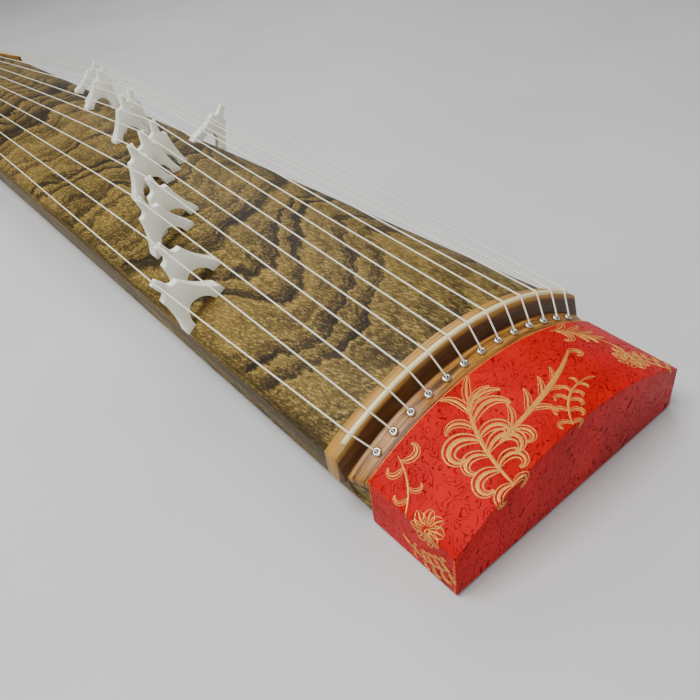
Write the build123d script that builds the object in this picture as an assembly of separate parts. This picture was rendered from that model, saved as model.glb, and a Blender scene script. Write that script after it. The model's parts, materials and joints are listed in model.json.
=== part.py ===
from build123d import *
import math
import os

# Thirteen-string long zither with movable bridges and a slip-on brocade head cap.
# Millimetres. +X runs from the tail to the head, the player sits on the -Y side, +Z is up.

# Overall lengths
HEAD_END = 910.0
TAIL_END = -910.0
HEAD_STRIP_X = 809.0
TAIL_STRIP_X = -676.0

# Body
FOOT_HEIGHT = 8.0
BACK_THICKNESS = 7.0
BOARD_RADIUS = 200.0
BOARD_APEX = 93.5
BOARD_THICKNESS = 9.0
TOP_HALF_HEAD = 125.0
TOP_HALF_TAIL = 121.0
LOW_HALF_HEAD = 116.0
LOW_HALF_TAIL = 112.0
SHELL_TAIL_X = -694.0
SHELL_STEP_X = 811.0
SHELL_HEAD_X = 830.7
SHELL_LOW = FOOT_HEIGHT + BACK_THICKNESS
SOUND_HOLE_LENGTH = 160.0
SOUND_HOLE_WIDTH = 66.0
SOUND_HOLE_XS = (600.0, -560.0)
BRACE_XS = (430.0, 20.0, -390.0)
BRACE_THICKNESS = 12.0

# Head saddle, its strip and the plate that holds the eyelets
SADDLE_FRONT_X = 799.0
SADDLE_BACK_X = 816.0
SADDLE_HALF = 127.5
SADDLE_RADIUS = 227.0
SADDLE_APEX = 94.8
SADDLE_LOW_RADIUS = 190.0
SADDLE_LOW_APEX = 84.0
STRIP_WIDTH = 4.0
HEAD_STRIP_RADIUS = 230.0
HEAD_STRIP_APEX = 97.6
HEAD_STRIP_STEP = 4.85
STRIP_BURY = 1.7
PLATE_RADIUS = 212.0
PLATE_APEX_FRONT = 80.8
PLATE_APEX_BACK = 76.8
PLATE_LOW = 36.0
EYELET_X = 823.3
EYELET_STEP = 4.77

# Tail saddle, tail block and leaf panel
TAIL_SADDLE_FRONT_X = -670.0
TAIL_SADDLE_BACK_X = -688.0
TAIL_SADDLE_HALF = 122.0
TAIL_STRIP_RADIUS = 240.0
TAIL_STRIP_APEX = 98.5
TAIL_STRIP_STEP = 4.3
TAIL_EYELET_STEP = 4.9
TAIL_APEX_FRONT = 90.0
TAIL_APEX_END = 70.0
PANEL_THICKNESS = 2.5
TAIL_EYELET_X = -704.0

# Eyelets
EYELET_OUTER = 3.5
EYELET_BORE = 1.4
EYELET_CREST = 2.2
SHANK_OUTER = 2.2
SHANK_DEPTH = 2.4
HOLE_CLEARANCE = 0.05

# Strings, number 1 on the far side to 13 nearest the player
STRING_COUNT = 13
STRING_RADIUS = 0.65
STRING_GAP = 0.12
FAR_DISTANCES = (572, 955, 855, 810, 645, 615, 477)
NEAR_DISTANCES = (458, 438.5, 350, 329, 248, 218)

# Movable bridges, each at its string's distance from the head strip
BRIDGE_HEIGHT = 56.0
BRIDGE_STEP = 5.2
BRIDGE_LEANS = (-7, -3, -1, 0, 0, 0, 0, 0, 0, 0, 1, 3, 7)
BRIDGE_FOOT_THICKNESS = 14.0
BRIDGE_TOP_THICKNESS = 5.0
BRIDGE_CLEARANCE = 0.2
NECK_HALF = 3.3
NOTCH_HALF = 1.1
NOTCH_DEPTH = 1.7

# Slip-on cap
CAP_MOUTH_X = 831.0
CAP_HALF = 118.0
CAP_LOW = 1.5
CAP_RADIUS = 227.0
CAP_APEX_MOUTH = 77.6
CAP_APEX_END = 71.6
BROCADE_THICKNESS = 0.8
CORE_THICKNESS = 2.0
LINING_THICKNESS = 0.4
CAP_CLEARANCE = 0.3


def arch_z(y, radius, apex):
    """Height of an arch at a distance y from the middle."""
    return apex - radius + math.sqrt(radius * radius - y * y)


def at_x(x):
    """Plane across the body: local x is across, local y is up."""
    return Plane(origin=(x, 0, 0), x_dir=(0, 1, 0), z_dir=(1, 0, 0))


def arched_section(x, low_half, low, high_half, radius, apex):
    """Section with a flat bottom, leaning sides and an arched top."""
    edge = arch_z(high_half, radius, apex)
    sides = Polyline((high_half, edge), (low_half, low), (-low_half, low), (-high_half, edge))
    top = ThreePointArc((-high_half, edge), (0, apex), (high_half, edge))
    return at_x(x) * make_face(sides.edges() + top.edges())


def crescent_section(x, half, radius, apex, low_radius, low_apex):
    """Section between two arches, with upright ends."""
    top = ThreePointArc(
        (-half, arch_z(half, radius, apex)), (0, apex), (half, arch_z(half, radius, apex))
    )
    low = ThreePointArc(
        (-half, arch_z(half, low_radius, low_apex)),
        (0, low_apex),
        (half, arch_z(half, low_radius, low_apex)),
    )
    right = Line(top @ 1, low @ 1)
    left = Line(low @ 0, top @ 0)
    return at_x(x) * make_face(top.edges() + right.edges() + low.edges() + left.edges())


def lofted(first, second):
    """Straight-sided solid between two sections."""
    return loft([first, second], ruled=True)


def block(x0, x1, y0, y1, z0, z1):
    """Box from its corners."""
    size = (x1 - x0, y1 - y0, z1 - z0)
    return Pos((x0 + x1) / 2, (y0 + y1) / 2, (z0 + z1) / 2) * Box(*size)


def taper(x, at_tail, at_head):
    """Value at x of a measure that changes evenly from the tail end to the head end of the shell."""
    share = (x - SHELL_TAIL_X) / (SHELL_HEAD_X - SHELL_TAIL_X)
    return at_tail + (at_head - at_tail) * share


def body_section(x, inset):
    """Flat-topped section of the body, tall enough to be cut by the arch."""
    high_half = taper(x, TOP_HALF_TAIL, TOP_HALF_HEAD)
    low_half = taper(x, LOW_HALF_TAIL, LOW_HALF_HEAD)
    edge = arch_z(high_half, BOARD_RADIUS, BOARD_APEX)
    lean = (high_half - low_half) / (edge - FOOT_HEIGHT)
    top_half = high_half + lean * (130 - edge) - inset
    low_half -= inset
    corners = [(top_half, 130), (low_half, FOOT_HEIGHT), (-low_half, FOOT_HEIGHT), (-top_half, 130)]
    return at_x(x) * make_face(Polyline(*corners, close=True).edges())


def body_prism(x0, x1, inset):
    """Body between two stations under the arch of the board, inset from the outside."""
    trapezoid = lofted(body_section(x0, inset), body_section(x1, inset))
    arch = Pos(0, 0, BOARD_APEX - BOARD_RADIUS) * Rot(0, 90, 0) * Cylinder(BOARD_RADIUS - inset, 2400)
    return trapezoid & arch


def plate_seat():
    """Solid end of the shell that the eyelet plate lies on."""
    radius = PLATE_RADIUS - 3.5
    front = arched_section(SHELL_STEP_X, 115.8, SHELL_LOW, 121.5, radius, PLATE_APEX_FRONT - 3.2)
    back = arched_section(SHELL_HEAD_X, 115.4, SHELL_LOW, 116.2, radius, PLATE_APEX_BACK - 3.2)
    return lofted(front, back)


def soundboard_shell():
    """Carved plank: arched board and both sides in one piece, open below."""
    outer = body_prism(SHELL_TAIL_X, SHELL_STEP_X, 0)
    outer -= block(-950, 950, -200, 200, 0, SHELL_LOW)
    hollow = body_prism(SHELL_TAIL_X + 14, SHELL_STEP_X - 16, BOARD_THICKNESS)
    return outer - hollow + plate_seat()


def back_board():
    """Flat back with a rounded sound hole near each end."""
    board = body_prism(SHELL_TAIL_X, SHELL_HEAD_X, 0) & block(-950, 950, -200, 200, FOOT_HEIGHT, SHELL_LOW)
    for x in SOUND_HOLE_XS:
        hole = extrude(SlotOverall(SOUND_HOLE_LENGTH, SOUND_HOLE_WIDTH), 40)
        board -= Pos(x, 0, 0) * hole
    return board


def brace(x):
    """Arched cross brace glued under the board, open in the middle of its lower edge."""
    rib = body_prism(x - BRACE_THICKNESS / 2, x + BRACE_THICKNESS / 2, BOARD_THICKNESS)
    rib -= block(-950, 950, -200, 200, 0, SHELL_LOW)
    opening = Pos(x, 0, -110) * Rot(0, 90, 0) * Cylinder(170, 40)
    return rib - opening


def head_saddle():
    """Rosewood crescent across the head end of the board, falling steeply to the eyelet plate."""
    ledge = [SADDLE_HALF, SADDLE_RADIUS, SADDLE_APEX, SADDLE_LOW_RADIUS, SADDLE_LOW_APEX]
    front = crescent_section(SADDLE_FRONT_X, *ledge)
    middle = crescent_section(SHELL_STEP_X, *ledge)
    heel = [SADDLE_HALF - 1.5, PLATE_RADIUS + 1, PLATE_APEX_FRONT + 0.5, PLATE_RADIUS, PLATE_APEX_FRONT - 3]
    back = crescent_section(SADDLE_BACK_X, *heel)
    saddle = lofted(front, middle) - body_prism(SHELL_TAIL_X, SHELL_STEP_X, 0)
    saddle += lofted(middle, back) - plate_blank() - plate_seat()
    return saddle - head_saddle_strip()


def strip_solid(x, radius, apex, half, bury):
    """Narrow strip bent along an arch, with a fully rounded top."""
    centre = apex - radius
    round_z = apex - STRIP_WIDTH / 2
    low = round_z - bury
    sides = Polyline((x - 2, round_z), (x - 2, low), (x + 2, low), (x + 2, round_z))
    top = ThreePointArc((x + 2, round_z), (x, apex), (x - 2, round_z))
    face = Plane.XZ * make_face(sides.edges() + top.edges())
    sweep_angle = math.degrees(math.asin(half / radius))
    axis = Axis((0, 0, centre), (1, 0, 0))
    return revolve(face, axis, 2 * sweep_angle).rotate(axis, -sweep_angle)


def head_saddle_strip():
    """Ivory-coloured strip let into the head saddle."""
    return strip_solid(HEAD_STRIP_X, HEAD_STRIP_RADIUS, HEAD_STRIP_APEX, 119, STRIP_BURY)


def plate_blank():
    """Outer form of the eyelet plate, with cheeks that cover the body's sides."""
    front = arched_section(SHELL_STEP_X, 124.4, PLATE_LOW, 126, PLATE_RADIUS, PLATE_APEX_FRONT + 1)
    back = arched_section(SHELL_HEAD_X, 118, PLATE_LOW, 118, PLATE_RADIUS, PLATE_APEX_BACK)
    return lofted(front, back)


def plate_frame(number):
    """Frame of an eyelet on the head plate: origin on the plate, z outward."""
    fall = (PLATE_APEX_FRONT + 1 - PLATE_APEX_BACK) / (SHELL_HEAD_X - SHELL_STEP_X)
    apex = PLATE_APEX_FRONT + 1 - fall * (EYELET_X - SHELL_STEP_X)
    return radial_frame(EYELET_X, PLATE_RADIUS, apex, (7 - number) * EYELET_STEP, fall)


def radial_frame(x, radius, apex, degrees, fall=0.0):
    """Frame on an arch that falls towards +X: origin on its surface, z outward."""
    angle = math.radians(degrees)
    origin = (x, radius * math.sin(angle), apex - radius + radius * math.cos(angle))
    outward = Vector(fall * math.cos(angle), math.sin(angle), math.cos(angle)).normalized()
    return Plane(origin=origin, x_dir=(1, 0, 0), z_dir=outward)


def tail_frame(number):
    """Frame of an eyelet on the tail panel: origin on the panel, z outward."""
    fall = (TAIL_APEX_FRONT - TAIL_APEX_END) / (TAIL_END - SHELL_TAIL_X)
    apex = TAIL_APEX_FRONT - fall * (TAIL_EYELET_X - SHELL_TAIL_X) + PANEL_THICKNESS
    degrees = (7 - number) * TAIL_EYELET_STEP
    return radial_frame(TAIL_EYELET_X, BOARD_RADIUS + PANEL_THICKNESS, apex, degrees, fall)


def drill(frame):
    """Cutter for an eyelet's shank hole."""
    return frame * Cylinder(SHANK_OUTER + HOLE_CLEARANCE, 2 * SHANK_DEPTH + 1)


def string_plate():
    """Rosewood plate between the saddle and the cap, drilled for thirteen eyelets."""
    plate = plate_blank() - plate_seat()
    for number in range(1, STRING_COUNT + 1):
        plate -= drill(plate_frame(number))
    return plate


def eyelet():
    """Domed metal ring with a short shank, seated at z = 0."""
    inner = [(EYELET_BORE, 1.2), (EYELET_BORE, -SHANK_DEPTH)]
    shank = Polyline(*inner, (SHANK_OUTER, -SHANK_DEPTH), (SHANK_OUTER, 0))
    flange = Polyline((SHANK_OUTER, 0), (EYELET_OUTER - 0.3, 0.06), (EYELET_OUTER, 0.5))
    dome = ThreePointArc((EYELET_OUTER, 0.5), (2.6, EYELET_CREST - 0.15), (2.0, EYELET_CREST))
    lip = ThreePointArc((2.0, EYELET_CREST), (1.55, 1.9), (EYELET_BORE, 1.2))
    face = Plane.XZ * make_face(shank.edges() + flange.edges() + dome.edges() + lip.edges())
    return revolve(face, Axis.Z)


def eyelets(frame_of):
    """Thirteen equal eyelets along one arch."""
    ring = eyelet()
    return Compound(children=[copy_at(ring, frame_of(number)) for number in range(1, STRING_COUNT + 1)])


def copy_at(shape, frame):
    """Copy of a shape moved to a frame and lifted a hair clear of the wood."""
    return (frame * Pos(0, 0, 0.08)) * shape


def head_block():
    """Plain block that the cap slides on to."""
    inset = BROCADE_THICKNESS + CORE_THICKNESS + LINING_THICKNESS + CAP_CLEARANCE
    front = cap_section(SHELL_HEAD_X, inset, FOOT_HEIGHT)
    back = cap_section(HEAD_END - inset, inset, FOOT_HEIGHT)
    return lofted(front, back)


def cap_section(x, inset, low):
    """Section of the cap at x, moved inwards by inset."""
    share = (x - CAP_MOUTH_X) / (HEAD_END - CAP_MOUTH_X)
    apex = CAP_APEX_MOUTH + (CAP_APEX_END - CAP_APEX_MOUTH) * share
    return arched_section(x, CAP_HALF - inset, low, CAP_HALF - inset, CAP_RADIUS - inset, apex - inset)


def cap_layer(outer_inset, inner_inset):
    """One layer of the cap's five walls, open at the mouth."""
    outer = lofted(
        cap_section(CAP_MOUTH_X, outer_inset, CAP_LOW + outer_inset),
        cap_section(HEAD_END - outer_inset, outer_inset, CAP_LOW + outer_inset),
    )
    inner = lofted(
        cap_section(CAP_MOUTH_X - 5, inner_inset, CAP_LOW + inner_inset),
        cap_section(HEAD_END - inner_inset, inner_inset, CAP_LOW + inner_inset),
    )
    return outer - inner


def tail_section(x, rise):
    """Section of the tail block at x, its top lifted by rise."""
    share = (x - SHELL_TAIL_X) / (TAIL_END - SHELL_TAIL_X)
    apex = TAIL_APEX_FRONT + (TAIL_APEX_END - TAIL_APEX_FRONT) * share + rise
    return arched_section(x, 112 - 2 * share, FOOT_HEIGHT, 119 - 3 * share, BOARD_RADIUS + rise, apex)


def tail_form():
    """Outer form of the tail behind the tail saddle."""
    return lofted(tail_section(SHELL_TAIL_X, 0), tail_section(TAIL_END, 0))


def tail_block():
    """Tail of the body, its top falling to the end, drilled for the string ends."""
    tail = tail_form()
    for number in range(1, STRING_COUNT + 1):
        tail -= drill(tail_frame(number))
    return tail


def tail_leaf_panel():
    """Thin rosewood veneer with a three-lobed edge over the top of the tail."""
    skin = lofted(tail_section(SHELL_TAIL_X, PANEL_THICKNESS), tail_section(TAIL_END + 22, PANEL_THICKNESS))
    skin -= tail_form()
    front = SHELL_TAIL_X
    tip = (front - 190, 0)
    right = [(front, 108), (front - 60, 110), (front - 95, 84), (front - 140, 92), (front - 160, 52)]
    left = [(x, -y) for x, y in right]
    plan = Polyline((front, -108), (front, 108)).edges()
    for side in (right + [tip], left + [tip]):
        plan += [lobe(a, b) for a, b in zip(side, side[1:])]
    panel = skin & extrude(make_face(plan), 130)
    for number in range(1, STRING_COUNT + 1):
        panel -= drill(tail_frame(number))
    return panel


def lobe(a, b):
    """Shallow outward arc between two corners of the leaf outline."""
    middle_x = (a[0] + b[0]) / 2
    middle_y = (a[1] + b[1]) / 2
    length = math.hypot(b[0] - a[0], b[1] - a[1])
    out_x = -abs(b[1] - a[1]) / length
    out_y = math.copysign(abs(b[0] - a[0]) / length, a[1])
    bulge = 0.12 * length
    return ThreePointArc(a, (middle_x + out_x * bulge, middle_y + out_y * bulge), b).edges()[0]


def tail_saddle():
    """Rosewood crescent across the tail end of the board."""
    front = crescent_section(TAIL_SADDLE_FRONT_X, TAIL_SADDLE_HALF, 237, 95.5, 190, 82)
    middle = crescent_section(TAIL_STRIP_X - 3, TAIL_SADDLE_HALF, 237, 95.5, 190, 82)
    back = crescent_section(TAIL_SADDLE_BACK_X, TAIL_SADDLE_HALF, 235, 93.8, 190, 82)
    saddle = lofted(front, middle) + lofted(middle, back)
    return saddle - body_prism(SHELL_TAIL_X, SHELL_STEP_X, 0) - tail_saddle_strip()


def tail_saddle_strip():
    """Ivory-coloured strip let into the tail saddle."""
    return strip_solid(TAIL_STRIP_X, TAIL_STRIP_RADIUS, TAIL_STRIP_APEX, 111, 2.5)


def feet(x, length):
    """Pair of low rosewood feet under one end."""
    pad = Box(length, 22, FOOT_HEIGHT)
    pad = chamfer(pad.faces().sort_by(Axis.Z)[0].edges(), 1.5)
    return Compound(children=[Pos(x, y, FOOT_HEIGHT / 2) * pad for y in (-82, 82)])


def bridge_profile():
    """Front outline of a movable bridge: notched neck, square shoulders, arch and two splayed legs."""
    h = BRIDGE_HEIGHT
    neck = Polyline((0, h), (NECK_HALF, h), (NECK_HALF + 0.6, h - 11))
    flare = ThreePointArc((NECK_HALF + 0.6, h - 11), (5.2, h - 14.8), (8, h - 16.4))
    shoulder = Polyline((8, h - 16.4), (11.3, h - 17), (12, h - 20.5))
    leg = ThreePointArc((12, h - 20.5), (17.2, 18), (25.4, 2.5))
    foot = Polyline((25.4, 2.5), (26, -9), (14.4, -9), (14.4, -0.5))
    arch = ThreePointArc((14.4, -0.5), (10, 11), (0, 16.5))
    right = Curve() + [neck, flare, shoulder, leg, foot, arch]
    left = mirror(right, about=Plane.YZ)
    return make_face(right.edges() + left.edges())


def bridge_blank():
    """Upright bridge with long legs, thinner at the top than at the feet."""
    body = Plane.YZ * bridge_profile()
    body = extrude(body, BRIDGE_FOOT_THICKNESS / 2, both=True)
    thick = BRIDGE_FOOT_THICKNESS / 2
    thin = BRIDGE_TOP_THICKNESS / 2
    for side in (-1, 1):
        face = [(side * thick, 4), (side * thin, BRIDGE_HEIGHT), (side * thin, 70)]
        corners = face + [(side * 20, 70), (side * 20, 4)]
        wedge = Plane.XZ * make_face(Polyline(*corners, close=True).edges())
        body -= extrude(wedge, 60, both=True)
    return body


def bridge(blank, number):
    """Bridge of one string: notched for it, leaned outward, its feet cut to the board."""
    points = string_corners(number)
    before = points[1] - points[2]
    after = points[3] - points[2]
    slope_head = before.dot(bridge_up(number)) / before.X
    slope_tail = after.dot(bridge_up(number)) / after.X
    bottom = BRIDGE_HEIGHT - NOTCH_DEPTH
    corners = [(0, bottom), (8, bottom + 8 * slope_head), (8, 70), (-8, 70), (-8, bottom - 8 * slope_tail)]
    slot = Plane.XZ * make_face(Polyline(*corners, close=True).edges())
    notched = blank - extrude(slot, NOTCH_HALF, both=True)
    floor = Pos(0, 0, -BOARD_RADIUS) * Rot(0, 90, 0) * Cylinder(BOARD_RADIUS + BRIDGE_CLEARANCE, 60)
    return bridge_frame(number) * (Rot(BRIDGE_LEANS[number - 1], 0, 0) * notched - floor)


def bridge_up(number):
    """Direction in which a bridge stands, leaned outward from the board's normal."""
    angle = math.radians((7 - number) * BRIDGE_STEP - BRIDGE_LEANS[number - 1])
    return Vector(0, math.sin(angle), math.cos(angle))


def bridge_frame(number):
    """Frame under a bridge: origin on the board, z outward."""
    x = HEAD_STRIP_X - (FAR_DISTANCES + NEAR_DISTANCES)[number - 1]
    return radial_frame(x, BOARD_RADIUS, BOARD_APEX, (7 - number) * BRIDGE_STEP)


def over_strip(strip, a, b, radius):
    """Corner of the path a-b that keeps a radius from the centre of a strip's round top."""
    centre = strip.origin - strip.z_dir * (STRIP_WIDTH / 2)
    corner = centre + strip.z_dir * radius
    for _ in range(8):
        to_a = (a - corner).normalized()
        to_b = (b - corner).normalized()
        middle = (to_a + to_b).normalized()
        half_sine = math.sqrt((1 - to_a.dot(to_b)) / 2)
        corner = centre - middle * (radius / half_sine)
    return corner


def string_corners(number):
    """Corners of a string's path from the bore of its head eyelet to its tail eyelet."""
    turn = STRIP_WIDTH / 2 + STRING_RADIUS + STRING_GAP
    head = plate_frame(number)
    tail = tail_frame(number)
    head_top = head.origin + head.z_dir * 2.6
    tail_top = tail.origin + tail.z_dir * 3.6
    seat = bridge_frame(number)
    rest = seat.origin + bridge_up(number) * (BRIDGE_HEIGHT - NOTCH_DEPTH + STRING_RADIUS + STRING_GAP + 0.08)
    steps = 7 - number
    head_strip = radial_frame(HEAD_STRIP_X, HEAD_STRIP_RADIUS, HEAD_STRIP_APEX, steps * HEAD_STRIP_STEP)
    tail_strip = radial_frame(TAIL_STRIP_X, TAIL_STRIP_RADIUS, TAIL_STRIP_APEX, steps * TAIL_STRIP_STEP)
    return [
        head_top,
        over_strip(head_strip, head_top, rest, turn),
        rest,
        tail_strip.origin + tail_strip.z_dir * (STRING_RADIUS + 1.5 * STRING_GAP),
        tail_top,
    ]


def rounded_path(points, radii):
    """Path through the points with each inner corner rounded to its own radius."""
    edges = []
    start = points[0]
    for before, corner, after, radius in zip(points, points[1:], points[2:], radii):
        to_a = (before - corner).normalized()
        to_b = (after - corner).normalized()
        half = math.acos(max(-1, min(1, to_a.dot(to_b)))) / 2
        reach = radius / math.tan(half)
        middle = (to_a + to_b).normalized()
        first = corner + to_a * reach
        last = corner + to_b * reach
        crown = corner + middle * (radius / math.sin(half) - radius)
        edges.append(Line(start, first))
        edges.append(ThreePointArc(first, crown, last))
        start = last
    edges.append(Line(start, points[-1]))
    return Wire([edge.edges()[0] for edge in edges])


def string(number):
    """One string: up out of its head eyelet, over both strips and its bridge, into its tail eyelet."""
    corners = string_corners(number)
    head = plate_frame(number)
    tail = tail_frame(number)
    points = [head.origin - head.z_dir * 1.6] + corners + [tail.origin - tail.z_dir * 1.6]
    turn = STRIP_WIDTH / 2 + STRING_RADIUS + STRING_GAP
    path = rounded_path(points, [1.1, turn, 1.5, turn, 1.3])
    start = Plane(origin=points[0], z_dir=head.z_dir)
    return sweep(start * Circle(STRING_RADIUS), path=path)


def save(shape, node):
    """Write one node."""
    export_step(shape, os.path.join("parts", node + ".step"))


def main():
    """Build and write every node of the instrument."""
    os.makedirs("parts", exist_ok=True)
    save(soundboard_shell(), "soundboard_shell")
    save(back_board(), "back_board")
    for x, node in zip(BRACE_XS, ("brace_head", "brace_middle", "brace_tail")):
        save(brace(x), node)
    save(head_saddle(), "head_saddle")
    save(head_saddle_strip(), "head_saddle_strip")
    save(string_plate(), "string_plate")
    save(eyelets(plate_frame), "head_eyelets")
    save(head_block(), "head_block")
    save(tail_block(), "tail_block")
    save(tail_leaf_panel(), "tail_leaf_panel")
    save(tail_saddle(), "tail_saddle")
    save(tail_saddle_strip(), "tail_saddle_strip")
    save(eyelets(tail_frame), "tail_eyelets")
    save(feet(760, 44), "head_feet")
    save(feet(-860, 36), "tail_feet")
    core = BROCADE_THICKNESS + CORE_THICKNESS
    save(cap_layer(0, BROCADE_THICKNESS), "cap_brocade")
    save(cap_layer(BROCADE_THICKNESS, core), "cap_core")
    save(cap_layer(core, core + LINING_THICKNESS), "cap_lining")
    blank = bridge_blank()
    for number in range(1, STRING_COUNT + 1):
        save(bridge(blank, number), f"bridge_{number:02d}")
        save(string(number), f"string_{number:02d}")


main()
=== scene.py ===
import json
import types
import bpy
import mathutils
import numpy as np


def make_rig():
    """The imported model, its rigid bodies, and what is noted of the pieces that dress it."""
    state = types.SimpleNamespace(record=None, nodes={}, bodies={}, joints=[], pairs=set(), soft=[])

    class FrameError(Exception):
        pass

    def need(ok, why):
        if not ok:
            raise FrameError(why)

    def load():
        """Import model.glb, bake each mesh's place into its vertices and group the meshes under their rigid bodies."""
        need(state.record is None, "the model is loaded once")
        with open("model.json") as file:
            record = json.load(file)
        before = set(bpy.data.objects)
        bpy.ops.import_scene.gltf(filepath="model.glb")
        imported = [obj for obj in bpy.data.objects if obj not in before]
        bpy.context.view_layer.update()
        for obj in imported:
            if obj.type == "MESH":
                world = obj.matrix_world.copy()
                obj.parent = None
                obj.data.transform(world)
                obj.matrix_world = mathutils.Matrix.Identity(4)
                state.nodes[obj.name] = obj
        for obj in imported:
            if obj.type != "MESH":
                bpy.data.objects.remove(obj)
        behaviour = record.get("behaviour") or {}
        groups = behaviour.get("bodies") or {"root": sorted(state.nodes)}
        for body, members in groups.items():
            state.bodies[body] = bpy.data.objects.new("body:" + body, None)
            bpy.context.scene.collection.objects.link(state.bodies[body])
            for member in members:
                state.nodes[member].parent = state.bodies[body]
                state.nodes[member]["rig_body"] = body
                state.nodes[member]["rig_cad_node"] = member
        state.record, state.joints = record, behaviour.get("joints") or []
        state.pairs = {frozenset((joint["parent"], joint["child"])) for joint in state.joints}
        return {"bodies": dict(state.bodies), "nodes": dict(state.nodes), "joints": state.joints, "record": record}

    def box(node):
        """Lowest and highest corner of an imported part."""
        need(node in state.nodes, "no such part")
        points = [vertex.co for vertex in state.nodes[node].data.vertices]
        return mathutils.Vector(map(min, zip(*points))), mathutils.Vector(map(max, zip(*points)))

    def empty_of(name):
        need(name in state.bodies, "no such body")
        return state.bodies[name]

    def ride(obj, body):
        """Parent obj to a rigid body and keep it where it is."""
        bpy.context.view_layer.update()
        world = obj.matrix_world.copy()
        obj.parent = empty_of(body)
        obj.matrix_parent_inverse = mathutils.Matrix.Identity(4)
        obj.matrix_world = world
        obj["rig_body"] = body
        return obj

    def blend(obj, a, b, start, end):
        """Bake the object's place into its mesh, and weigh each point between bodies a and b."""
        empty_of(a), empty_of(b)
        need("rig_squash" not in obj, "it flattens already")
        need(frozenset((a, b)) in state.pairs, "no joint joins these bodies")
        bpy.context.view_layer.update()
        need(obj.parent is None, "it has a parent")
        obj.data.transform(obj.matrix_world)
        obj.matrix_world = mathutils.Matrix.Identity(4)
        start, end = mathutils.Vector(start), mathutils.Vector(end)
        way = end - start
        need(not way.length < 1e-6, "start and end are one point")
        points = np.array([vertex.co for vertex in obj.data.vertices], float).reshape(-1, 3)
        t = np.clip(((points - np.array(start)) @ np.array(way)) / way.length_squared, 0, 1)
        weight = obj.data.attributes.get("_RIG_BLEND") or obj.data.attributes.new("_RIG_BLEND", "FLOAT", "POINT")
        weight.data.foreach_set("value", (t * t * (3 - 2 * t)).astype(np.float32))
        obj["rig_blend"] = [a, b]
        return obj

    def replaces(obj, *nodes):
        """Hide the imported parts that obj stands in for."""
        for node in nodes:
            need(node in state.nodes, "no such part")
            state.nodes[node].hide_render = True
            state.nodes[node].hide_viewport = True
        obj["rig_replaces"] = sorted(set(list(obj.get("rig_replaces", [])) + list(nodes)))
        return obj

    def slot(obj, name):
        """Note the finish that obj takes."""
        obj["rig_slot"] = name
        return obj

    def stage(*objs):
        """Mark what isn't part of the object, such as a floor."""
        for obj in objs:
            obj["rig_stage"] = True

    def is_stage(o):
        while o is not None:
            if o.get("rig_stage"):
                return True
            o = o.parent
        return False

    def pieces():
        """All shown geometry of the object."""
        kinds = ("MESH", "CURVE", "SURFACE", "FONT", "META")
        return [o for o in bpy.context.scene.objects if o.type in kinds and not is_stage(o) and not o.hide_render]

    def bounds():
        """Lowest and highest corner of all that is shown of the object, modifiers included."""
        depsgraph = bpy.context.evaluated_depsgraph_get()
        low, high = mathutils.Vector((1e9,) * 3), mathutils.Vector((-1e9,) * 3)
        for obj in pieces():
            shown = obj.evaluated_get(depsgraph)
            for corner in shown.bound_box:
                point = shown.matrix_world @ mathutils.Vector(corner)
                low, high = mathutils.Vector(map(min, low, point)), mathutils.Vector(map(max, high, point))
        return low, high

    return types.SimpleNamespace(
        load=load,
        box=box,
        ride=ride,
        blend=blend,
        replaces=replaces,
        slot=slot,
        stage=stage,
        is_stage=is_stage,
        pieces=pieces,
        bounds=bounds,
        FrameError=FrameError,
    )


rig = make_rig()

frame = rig.load()

import json
import logging
import math
from dataclasses import dataclass, field
from enum import Enum
from typing import Any, Sequence, Union

import bmesh
import bpy
from mathutils import Matrix, Vector

LOADED_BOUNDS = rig.bounds()
LOG = logging.getLogger("zither")
MERGE_DISTANCE = 0.000002
SHARP_EDGE = math.radians(32.0)
SMOOTH_EDGE = math.radians(38.0)
END_FACING = 0.75
SIDE_FACING = 0.80
Number = Union[int, float]
Colour = tuple[float, float, float]
Point = tuple[float, float, float]
Place = tuple[float, float]
Leaves = tuple[tuple[float, float, float, float], ...]


class Region(Enum):
    """Faces of the cap that the cloth is folded over."""

    TOP = "top"
    SIDE = "side"
    END = "end"


# ---------------------------------------------------------------- shader expressions


class Value:
    """A number socket that takes part in Python arithmetic."""

    def __init__(self, paint: "Paint", socket: bpy.types.NodeSocket) -> None:
        """Keep the socket and the material it belongs to.

        Args:
            paint: Material under construction.
            socket: Output socket that carries the number.
        """
        self.paint = paint
        self.socket = socket

    def _math(self, operation: str, *operands: Union["Value", Number]) -> "Value":
        """Add one Math node.

        Args:
            operation: Name of the operation.
            operands: Its inputs, in order.

        Returns:
            The node's result.
        """
        made = self.paint.node("ShaderNodeMath", {"operation": operation}, dict(enumerate(operands)))
        return Value(self.paint, made.outputs[0])

    def __add__(self, other: Union["Value", Number]) -> "Value":
        """Sum."""
        return self._math("ADD", self, other)

    __radd__ = __add__

    def __sub__(self, other: Union["Value", Number]) -> "Value":
        """Difference."""
        return self._math("SUBTRACT", self, other)

    def __rsub__(self, other: Union["Value", Number]) -> "Value":
        """Difference with the number first."""
        return self._math("SUBTRACT", other, self)

    def __mul__(self, other: Union["Value", Number]) -> "Value":
        """Product."""
        return self._math("MULTIPLY", self, other)

    __rmul__ = __mul__

    def sine(self) -> "Value":
        """Sine of the value."""
        return self._math("SINE", self)

    def fraction(self) -> "Value":
        """Part after the decimal point."""
        return self._math("FRACT", self)

    def absolute(self) -> "Value":
        """Value without its sign."""
        return self._math("ABSOLUTE", self)

    def floor(self) -> "Value":
        """Whole part."""
        return self._math("FLOOR", self)

    def step(self, low: float, high: float) -> "Value":
        """Smooth rise from 0 to 1.

        Args:
            low: Value that gives 0.
            high: Value that gives 1.

        Returns:
            The stepped value.
        """
        settings = {"interpolation_type": "SMOOTHSTEP"}
        inputs = {"Value": self, "From Min": low, "From Max": high}
        return Value(self.paint, self.paint.node("ShaderNodeMapRange", settings, inputs).outputs[0])


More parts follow.
